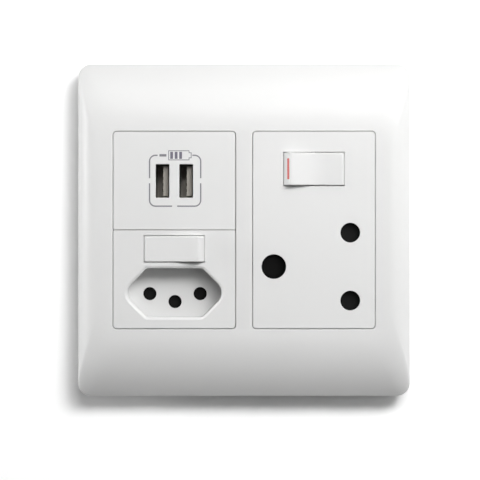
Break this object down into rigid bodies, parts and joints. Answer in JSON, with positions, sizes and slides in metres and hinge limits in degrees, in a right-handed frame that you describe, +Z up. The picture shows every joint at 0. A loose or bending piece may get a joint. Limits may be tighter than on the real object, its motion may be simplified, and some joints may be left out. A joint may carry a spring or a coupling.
{
  "type": "usb wall socket",
  "caption": "Square wall plate with a large switched socket for round pins beside a small switched socket in a six-sided recess, under a pair of charging ports.",
  "frame": {"origin": "middle of the plate's back, on the wall's surface", "axes": "+X to the right as the user sees it, +Y into the wall, +Z up"},
  "size_m": [0.125, 0.0378, 0.125],
  "materials": {
    "white_plastic": "satin",
    "inner_plastic": "matt",
    "shutter_plastic": "matt",
    "red_plastic": "satin",
    "dark_plastic": "matt",
    "tongue_plastic": "matt",
    "steel": "zinc plated",
    "contact_brass": "plain",
    "spring_steel": "plain",
    "board": "lacquered",
    "component": "matt"
  },
  "bodies": {
    "socket": {"cover_plate": "white_plastic", "mounting_frame": "inner_plastic", "box_screws": "steel", "large_socket_cover": "white_plastic", "large_inner_plate": "inner_plastic", "large_shutter_spring": "spring_steel", "large_feed_terminal": "contact_brass", "large_live_contact": "contact_brass", "large_neutral_contact": "contact_brass", "large_earth_contact": "contact_brass", "large_terminal_screws": "steel", "large_case_screws": "steel", "large_socket_base": "inner_plastic", "small_socket_cover": "white_plastic", "small_inner_plate": "inner_plastic", "small_shutter_spring": "spring_steel", "small_feed_terminal": "contact_brass", "small_live_contact": "contact_brass", "small_neutral_contact": "contact_brass", "small_earth_contact": "contact_brass", "small_terminal_screws": "steel", "small_case_screws": "steel", "small_socket_base": "inner_plastic", "usb_front_cover": "white_plastic", "usb_rear_housing": "inner_plastic", "usb_left_shell": "steel", "usb_right_shell": "steel", "usb_left_tongue": "tongue_plastic", "usb_right_tongue": "tongue_plastic", "usb_left_contacts": "contact_brass", "usb_right_contacts": "contact_brass", "usb_circuit_board": "board", "usb_transformer": "component", "usb_capacitors": "component", "usb_terminal_block": "dark_plastic", "usb_terminal_screws": "steel", "usb_case_screws": "steel"},
    "large_rocker_group": {"large_rocker": "white_plastic", "large_rocker_flag": "red_plastic", "large_plunger_spring": "spring_steel"},
    "large_plunger_group": {"large_plunger": "inner_plastic"},
    "large_beam_group": {"large_moving_contact": "contact_brass"},
    "large_shutter_group": {"large_shutter": "shutter_plastic"},
    "small_rocker_group": {"small_rocker": "white_plastic", "small_rocker_flag": "red_plastic", "small_plunger_spring": "spring_steel"},
    "small_plunger_group": {"small_plunger": "inner_plastic"},
    "small_beam_group": {"small_moving_contact": "contact_brass"},
    "small_shutter_group": {"small_shutter": "shutter_plastic"}
  },
  "joints": [
    {"name": "large_rocker_swing", "type": "hinge", "parent": "socket", "child": "large_rocker_group", "pos_m": [0.0261, -0.0047, 0.0228], "axis": [0, 0, 1], "range_deg": [-16, 0]},
    {"name": "large_plunger_slide", "type": "slide", "parent": "large_rocker_group", "child": "large_plunger_group", "axis": [0.1392, -0.9903, 0], "range_m": [0, 0.0012], "stiffness_N_per_m": 400, "springref_m": -0.0005, "deforming": ["large_plunger_spring"]},
    {"name": "large_beam_swing", "type": "hinge", "parent": "socket", "child": "large_beam_group", "pos_m": [0.0261, 0.005, 0.0228], "axis": [0, 0, 1], "range_deg": [0, 16]},
    {"name": "small_rocker_swing", "type": "hinge", "parent": "socket", "child": "small_rocker_group", "pos_m": [-0.0261, -0.0047, -0.0071], "axis": [0, 0, 1], "range_deg": [0, 16]},
    {"name": "small_plunger_slide", "type": "slide", "parent": "small_rocker_group", "child": "small_plunger_group", "axis": [-0.1392, -0.9903, 0], "range_m": [0, 0.0012], "stiffness_N_per_m": 400, "springref_m": -0.0005, "deforming": ["small_plunger_spring"]},
    {"name": "small_beam_swing", "type": "hinge", "parent": "socket", "child": "small_beam_group", "pos_m": [-0.0261, 0.005, -0.0071], "axis": [0, 0, 1], "range_deg": [-16, 0]},
    {"name": "large_shutter_slide", "type": "slide", "parent": "socket", "child": "large_shutter_group", "axis": [0, 0, 1], "range_m": [0, 0.0093], "stiffness_N_per_m": 60, "springref_m": -0.002, "deforming": ["large_shutter_spring"]},
    {"name": "small_shutter_slide", "type": "slide", "parent": "socket", "child": "small_shutter_group", "axis": [0, 0, 1], "range_m": [0, 0.0058], "stiffness_N_per_m": 60, "springref_m": -0.002, "deforming": ["small_shutter_spring"]}
  ],
  "couplings": [
    {"joint": "large_beam_swing", "follows": "large_rocker_swing", "ratio": -1},
    {"joint": "small_beam_swing", "follows": "small_rocker_swing", "ratio": -1}
  ]
}
